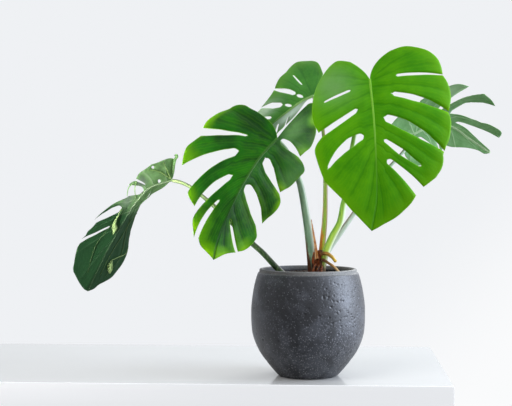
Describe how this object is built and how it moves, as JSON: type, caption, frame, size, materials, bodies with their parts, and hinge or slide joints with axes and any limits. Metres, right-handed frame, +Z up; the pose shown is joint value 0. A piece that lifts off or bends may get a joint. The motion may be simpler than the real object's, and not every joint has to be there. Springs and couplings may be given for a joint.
{
  "type": "potted monstera plant",
  "caption": "Young split-leaf monstera in a round charcoal stone-mix pot, with long stalks, slotted leaves, air roots and soil.",
  "frame": {"origin": "centre of the pot's flat foot, on the surface that it stands on", "axes": "+Z up, +X to the right and +Y to the back as the plant is seen from its front"},
  "size_m": [0.7184, 0.2401, 0.5417],
  "materials": {
    "pot": "matt mottled stone mix",
    "soil": "damp crumbly potting mix",
    "crown": "rough fibrous stem",
    "stalk_far_left": "waxy green stalk",
    "stalk_front_left": "waxy blue-green stalk",
    "stalk_back": "green stalk with dry brown edges",
    "stalk_front_right": "fresh green stalk",
    "stalk_back_right": "pale grey-green stalk",
    "leaf_front_right": "glossy fresh green leaf",
    "leaf_front_left": "glossy dark green leaf",
    "leaf_back": "glossy green leaf",
    "leaf_back_right": "matt pale underside and green face",
    "leaf_far_left": "dark green leaf with pale underside",
    "air_root_stub": "golden rough root",
    "air_root_long": "tan rough root",
    "dry_sheath": "papery dry sheath"
  },
  "bodies": {
    "root": {"pot": "pot", "soil": "soil", "crown": "crown", "stalk_far_left": "stalk_far_left", "stalk_front_left": "stalk_front_left", "stalk_back": "stalk_back", "stalk_front_right": "stalk_front_right", "stalk_back_right": "stalk_back_right", "leaf_front_right": "leaf_front_right", "leaf_front_left": "leaf_front_left", "leaf_back": "leaf_back", "leaf_back_right": "leaf_back_right", "leaf_far_left": "leaf_far_left", "air_root_stub": "air_root_stub", "air_root_long": "air_root_long", "dry_sheath": "dry_sheath"}
  },
  "joints": []
}
